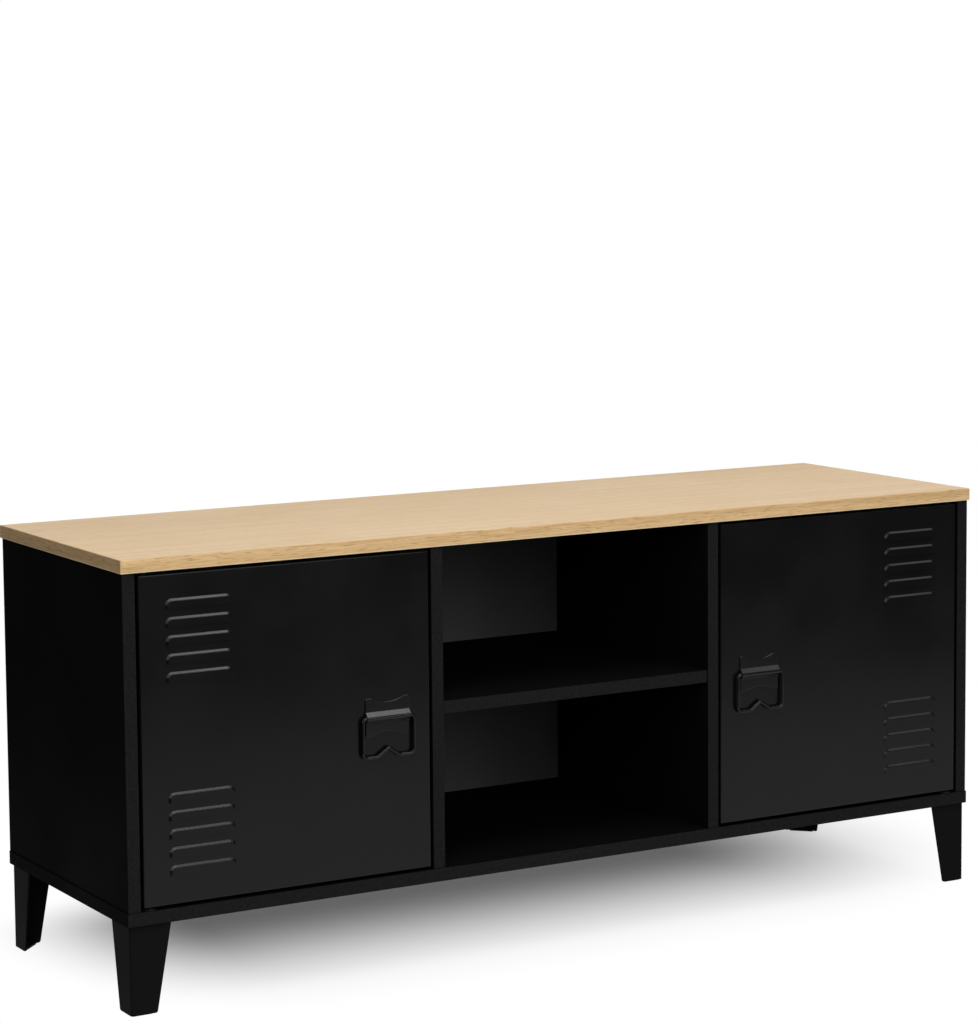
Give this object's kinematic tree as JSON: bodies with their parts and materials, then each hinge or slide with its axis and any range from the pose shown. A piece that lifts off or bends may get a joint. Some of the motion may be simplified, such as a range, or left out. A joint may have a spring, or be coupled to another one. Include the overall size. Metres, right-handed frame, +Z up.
{
  "type": "tv stand with doors",
  "caption": "Low black cabinet on tapered folded-steel legs, with an oak-look top, an open shelved bay in the middle and a louvred steel door with a ring pull at each side.",
  "frame": {"origin": "on the floor, under the centre of the top panel", "axes": "+X to the right as seen from the front, +Y to the back, +Z up; the doors face -Y"},
  "size_m": [1.15, 0.3555, 0.5],
  "materials": {
    "oak_board": "oak-grain melamine, matt",
    "oak_edging": "oak-grain edging, matt",
    "black_board": "black melamine, satin",
    "back_board": "thin fibreboard, black on the inside",
    "black_steel": "black powder coat, satin",
    "black_pull": "black enamel, semi-gloss",
    "bright_steel": "zinc plated",
    "black_screw": "black zinc plated",
    "cast_zinc": "die-cast zinc",
    "beech": "plain turned beech",
    "nylon": "black nylon",
    "black_plastic": "moulded, matt",
    "ferrite": "sintered, dull"
  },
  "bodies": {
    "cabinet": {"top_panel": "oak_board", "top_edge_band": "oak_edging", "bottom_panel": "black_board", "left_side_panel": "black_board", "right_side_panel": "black_board", "left_partition": "black_board", "right_partition": "black_board", "shelf": "black_board", "back_panel": "back_board", "back_panel_nails": "bright_steel", "cam_locks": "cast_zinc", "cam_bolts": "bright_steel", "dowels": "beech", "bottom_screws": "bright_steel", "shelf_screws": "black_screw", "leg_front_left": "black_steel", "leg_front_right": "black_steel", "leg_back_left": "black_steel", "leg_back_right": "black_steel", "leg_screws": "black_screw", "foot_glides": "black_plastic", "pivot_bushes": "nylon", "left_catch_body": "black_plastic", "right_catch_body": "black_plastic", "catch_magnets": "ferrite", "catch_pole_plates": "bright_steel", "catch_screws": "black_screw"},
    "left_door": {"left_door_panel": "black_steel", "left_pivot_plates": "black_steel", "left_pivot_pins": "black_screw", "left_pull_plate": "black_pull", "left_pull_nuts": "bright_steel"},
    "left_ring": {"left_pull_ring": "black_pull"},
    "right_door": {"right_door_panel": "black_steel", "right_pivot_plates": "black_steel", "right_pivot_pins": "black_screw", "right_pull_plate": "black_pull", "right_pull_nuts": "bright_steel"},
    "right_ring": {"right_pull_ring": "black_pull"}
  },
  "joints": [
    {"name": "left_door_hinge", "type": "hinge", "parent": "cabinet", "child": "left_door", "pos_m": [-0.5455, -0.165, 0.3], "axis": [0, 0, -1], "range_deg": [0, 110]},
    {"name": "right_door_hinge", "type": "hinge", "parent": "cabinet", "child": "right_door", "pos_m": [0.5455, -0.165, 0.3], "axis": [0, 0, 1], "range_deg": [0, 110]},
    {"name": "left_ring_swing", "type": "hinge", "parent": "left_door", "child": "left_ring", "pos_m": [-0.2545, -0.17675, 0.298], "axis": [-1, 0, 0], "range_deg": [0, 90]},
    {"name": "right_ring_swing", "type": "hinge", "parent": "right_door", "child": "right_ring", "pos_m": [0.2545, -0.17675, 0.298], "axis": [-1, 0, 0], "range_deg": [0, 90]}
  ]
}
